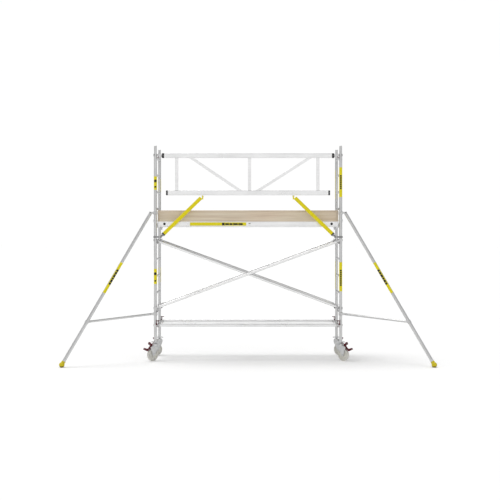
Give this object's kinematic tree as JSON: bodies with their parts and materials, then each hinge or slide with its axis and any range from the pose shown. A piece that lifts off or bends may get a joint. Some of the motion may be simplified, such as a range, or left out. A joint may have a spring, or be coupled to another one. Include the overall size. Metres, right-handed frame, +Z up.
{
  "type": "mobile scaffold tower",
  "caption": "Aluminium mobile scaffold tower section with ladder frames, braces, hatch platform, toe boards, guardrail, castors and outrigger stabilisers.",
  "frame": {"origin": "on the floor, in the middle of the footprint", "axes": "+X along the tower from the left end frame to the right one, +Y from the front with the stabilisers to the rear, +Z up"},
  "size_m": [5.896, 1.6863, 3.5345],
  "materials": {
    "aluminium": "mill finish extruded tube",
    "cast_aluminium": "matt casting",
    "zinc_steel": "zinc plated",
    "nylon": "moulded nylon",
    "dark_red": "moulded, satin",
    "black_plastic": "moulded, satin",
    "plywood": "phenolic faced plywood",
    "pale_wood": "pale coated board",
    "yellow": "powder coat"
  },
  "bodies": {
    "tower": {"claws": "cast_aluminium", "diagonal_braces": "aluminium", "guardrail_frame": "aluminium", "hatch_hinges": "zinc_steel", "horizontal_braces": "aluminium", "lower_frame_left": "aluminium", "lower_frame_right": "aluminium", "plastic_caps": "black_plastic", "platform_deck": "plywood", "platform_frame": "aluminium", "platform_hooks": "cast_aluminium", "spigots": "aluminium", "splice_clips": "zinc_steel", "toe_board_brackets": "zinc_steel", "toe_boards": "pale_wood", "upper_frame_left": "aluminium", "upper_frame_right": "aluminium"},
    "spindle_front_left": {"spindle_front_left": "zinc_steel"},
    "height_nut_front_left": {"height_nut_front_left": "zinc_steel"},
    "castor_front_left": {"fork_front_left": "zinc_steel"},
    "wheel_front_left": {"wheel_front_left": "nylon"},
    "brake_pedal_front_left": {"brake_pedal_front_left": "dark_red"},
    "spindle_front_right": {"spindle_front_right": "zinc_steel"},
    "height_nut_front_right": {"height_nut_front_right": "zinc_steel"},
    "castor_front_right": {"fork_front_right": "zinc_steel"},
    "wheel_front_right": {"wheel_front_right": "nylon"},
    "brake_pedal_front_right": {"brake_pedal_front_right": "dark_red"},
    "spindle_rear_left": {"spindle_rear_left": "zinc_steel"},
    "height_nut_rear_left": {"height_nut_rear_left": "zinc_steel"},
    "castor_rear_left": {"fork_rear_left": "zinc_steel"},
    "wheel_rear_left": {"wheel_rear_left": "nylon"},
    "brake_pedal_rear_left": {"brake_pedal_rear_left": "dark_red"},
    "spindle_rear_right": {"spindle_rear_right": "zinc_steel"},
    "height_nut_rear_right": {"height_nut_rear_right": "zinc_steel"},
    "castor_rear_right": {"fork_rear_right": "zinc_steel"},
    "wheel_rear_right": {"wheel_rear_right": "nylon"},
    "brake_pedal_rear_right": {"brake_pedal_rear_right": "dark_red"},
    "hatch": {"platform_hatch": "plywood"},
    "hatch_latch": {"hatch_latch": "black_plastic"},
    "diagonal_triggers": {"diagonal_triggers": "black_plastic"},
    "horizontal_triggers": {"horizontal_triggers": "dark_red"},
    "guardrail_triggers": {"guardrail_triggers": "dark_red"},
    "platform_lock_left": {"platform_lock_left": "zinc_steel"},
    "strut_left": {"strut_left": "yellow", "strut_hook_left": "cast_aluminium"},
    "stabiliser_left": {"stabiliser_clamps_left": "cast_aluminium", "stabiliser_leg_left": "aluminium", "stabiliser_arm_left": "aluminium"},
    "stabiliser_levers_left": {"stabiliser_levers_left": "cast_aluminium"},
    "stabiliser_extension_left": {"stabiliser_extension_left": "aluminium", "stabiliser_foot_left": "yellow"},
    "platform_lock_right": {"platform_lock_right": "zinc_steel"},
    "strut_right": {"strut_right": "yellow", "strut_hook_right": "cast_aluminium"},
    "stabiliser_right": {"stabiliser_clamps_right": "cast_aluminium", "stabiliser_leg_right": "aluminium", "stabiliser_arm_right": "aluminium"},
    "stabiliser_levers_right": {"stabiliser_levers_right": "cast_aluminium"},
    "stabiliser_extension_right": {"stabiliser_extension_right": "aluminium", "stabiliser_foot_right": "yellow"}
  },
  "joints": [
    {"name": "leg_adjust_front_left", "type": "slide", "parent": "tower", "child": "spindle_front_left", "axis": [0, 0, -1], "range_m": [0, 0.2]},
    {"name": "height_nut_front_left", "type": "hinge", "parent": "tower", "child": "height_nut_front_left", "pos_m": [-1.525, 0.0405, 0.297], "axis": [0, 0, 1], "range_deg": [0, 9020]},
    {"name": "castor_swivel_front_left", "type": "hinge", "parent": "spindle_front_left", "child": "castor_front_left", "pos_m": [-1.525, 0.0405, 0.246], "axis": [0, 0, 1], "continuous": true},
    {"name": "wheel_spin_front_left", "type": "hinge", "parent": "castor_front_left", "child": "wheel_front_left", "pos_m": [-1.56713, 0.00515, 0.1], "axis": [0.6428, -0.766, 0], "continuous": true},
    {"name": "brake_front_left", "type": "hinge", "parent": "castor_front_left", "child": "brake_pedal_front_left", "pos_m": [-1.60007, -0.02249, 0.222], "axis": [0.6428, -0.766, 0], "range_deg": [0, 8]},
    {"name": "leg_adjust_front_right", "type": "slide", "parent": "tower", "child": "spindle_front_right", "axis": [0, 0, -1], "range_m": [0, 0.2]},
    {"name": "height_nut_front_right", "type": "hinge", "parent": "tower", "child": "height_nut_front_right", "pos_m": [1.525, 0.0405, 0.297], "axis": [0, 0, 1], "range_deg": [0, 9020]},
    {"name": "castor_swivel_front_right", "type": "hinge", "parent": "spindle_front_right", "child": "castor_front_right", "pos_m": [1.525, 0.0405, 0.246], "axis": [0, 0, 1], "continuous": true},
    {"name": "wheel_spin_front_right", "type": "hinge", "parent": "castor_front_right", "child": "wheel_front_right", "pos_m": [1.56713, 0.00515, 0.1], "axis": [0.6428, 0.766, 0], "continuous": true},
    {"name": "brake_front_right", "type": "hinge", "parent": "castor_front_right", "child": "brake_pedal_front_right", "pos_m": [1.60007, -0.02249, 0.222], "axis": [0.6428, 0.766, 0], "range_deg": [0, 8]},
    {"name": "leg_adjust_rear_left", "type": "slide", "parent": "tower", "child": "spindle_rear_left", "axis": [0, 0, -1], "range_m": [0, 0.2]},
    {"name": "height_nut_rear_left", "type": "hinge", "parent": "tower", "child": "height_nut_rear_left", "pos_m": [-1.525, 0.7905, 0.297], "axis": [0, 0, 1], "range_deg": [0, 9020]},
    {"name": "castor_swivel_rear_left", "type": "hinge", "parent": "spindle_rear_left", "child": "castor_rear_left", "pos_m": [-1.525, 0.7905, 0.246], "axis": [0, 0, 1], "continuous": true},
    {"name": "wheel_spin_rear_left", "type": "hinge", "parent": "castor_rear_left", "child": "wheel_rear_left", "pos_m": [-1.56713, 0.75515, 0.1], "axis": [0.6428, -0.766, 0], "continuous": true},
    {"name": "brake_rear_left", "type": "hinge", "parent": "castor_rear_left", "child": "brake_pedal_rear_left", "pos_m": [-1.60007, 0.72751, 0.222], "axis": [0.6428, -0.766, 0], "range_deg": [0, 8]},
    {"name": "leg_adjust_rear_right", "type": "slide", "parent": "tower", "child": "spindle_rear_right", "axis": [0, 0, -1], "range_m": [0, 0.2]},
    {"name": "height_nut_rear_right", "type": "hinge", "parent": "tower", "child": "height_nut_rear_right", "pos_m": [1.525, 0.7905, 0.297], "axis": [0, 0, 1], "range_deg": [0, 9020]},
    {"name": "castor_swivel_rear_right", "type": "hinge", "parent": "spindle_rear_right", "child": "castor_rear_right", "pos_m": [1.525, 0.7905, 0.246], "axis": [0, 0, 1], "continuous": true},
    {"name": "wheel_spin_rear_right", "type": "hinge", "parent": "castor_rear_right", "child": "wheel_rear_right", "pos_m": [1.56713, 0.75515, 0.1], "axis": [0.6428, 0.766, 0], "continuous": true},
    {"name": "brake_rear_right", "type": "hinge", "parent": "castor_rear_right", "child": "brake_pedal_rear_right", "pos_m": [1.60007, 0.72751, 0.222], "axis": [0.6428, 0.766, 0], "range_deg": [0, 8]},
    {"name": "hatch_hinge", "type": "hinge", "parent": "tower", "child": "hatch", "pos_m": [-0.94, 0.6595, 2.296], "axis": [-1, 0, 0], "range_deg": [0, 95]},
    {"name": "hatch_latch_turn", "type": "hinge", "parent": "hatch", "child": "hatch_latch", "pos_m": [-0.94, 0.2355, 2.29], "axis": [0, 0, -1], "range_deg": [0, 90]},
    {"name": "diagonal_trigger_push", "type": "slide", "parent": "tower", "child": "diagonal_triggers", "axis": [0, 0, 1], "range_m": [0, 0.006], "stiffness_N_per_m": 2500, "springref_m": -0.002},
    {"name": "horizontal_trigger_lift", "type": "slide", "parent": "tower", "child": "horizontal_triggers", "axis": [0, 0, 1], "range_m": [0, 0.006], "stiffness_N_per_m": 2500, "springref_m": -0.002},
    {"name": "guardrail_trigger_lift", "type": "slide", "parent": "tower", "child": "guardrail_triggers", "axis": [0, 0, 1], "range_m": [0, 0.006], "stiffness_N_per_m": 1500, "springref_m": -0.002},
    {"name": "wind_lock_left", "type": "hinge", "parent": "tower", "child": "platform_lock_left", "pos_m": [-1.473, 0.4155, 2.186], "axis": [0, -1, 0], "range_deg": [0, 60]},
    {"name": "strut_swing_left", "type": "hinge", "parent": "tower", "child": "strut_left", "pos_m": [-0.745, 0.0135, 2.7045], "axis": [-1, 0, 0], "range_deg": [0, 80]},
    {"name": "stabiliser_swing_left", "type": "hinge", "parent": "tower", "child": "stabiliser_left", "pos_m": [-1.525, 0.0405, 0.77], "axis": [0, 0, 1], "range_deg": [-28, 60]},
    {"name": "clamp_levers_left", "type": "hinge", "parent": "stabiliser_left", "child": "stabiliser_levers_left", "pos_m": [-1.50191, 0.00257, 0.77], "axis": [0, 0, 1], "range_deg": [0, 110]},
    {"name": "stabiliser_extend_left", "type": "slide", "parent": "stabiliser_left", "child": "stabiliser_extension_left", "axis": [-0.4609, -0.2805, -0.842], "range_m": [0, 0.5]},
    {"name": "wind_lock_right", "type": "hinge", "parent": "tower", "child": "platform_lock_right", "pos_m": [1.473, 0.4155, 2.186], "axis": [0, 1, 0], "range_deg": [0, 60]},
    {"name": "strut_swing_right", "type": "hinge", "parent": "tower", "child": "strut_right", "pos_m": [0.745, 0.0135, 2.7045], "axis": [-1, 0, 0], "range_deg": [0, 80]},
    {"name": "stabiliser_swing_right", "type": "hinge", "parent": "tower", "child": "stabiliser_right", "pos_m": [1.525, 0.0405, 0.77], "axis": [0, 0, -1], "range_deg": [-28, 60]},
    {"name": "clamp_levers_right", "type": "hinge", "parent": "stabiliser_right", "child": "stabiliser_levers_right", "pos_m": [1.50191, 0.00257, 0.77], "axis": [0, 0, -1], "range_deg": [0, 110]},
    {"name": "stabiliser_extend_right", "type": "slide", "parent": "stabiliser_right", "child": "stabiliser_extension_right", "axis": [0.4609, -0.2805, -0.842], "range_m": [0, 0.5]}
  ],
  "couplings": [
    {"joint": "height_nut_front_left", "follows": "leg_adjust_front_left", "rad_per_m": 785.4},
    {"joint": "height_nut_front_right", "follows": "leg_adjust_front_right", "rad_per_m": 785.4},
    {"joint": "height_nut_rear_left", "follows": "leg_adjust_rear_left", "rad_per_m": 785.4},
    {"joint": "height_nut_rear_right", "follows": "leg_adjust_rear_right", "rad_per_m": 785.4}
  ]
}
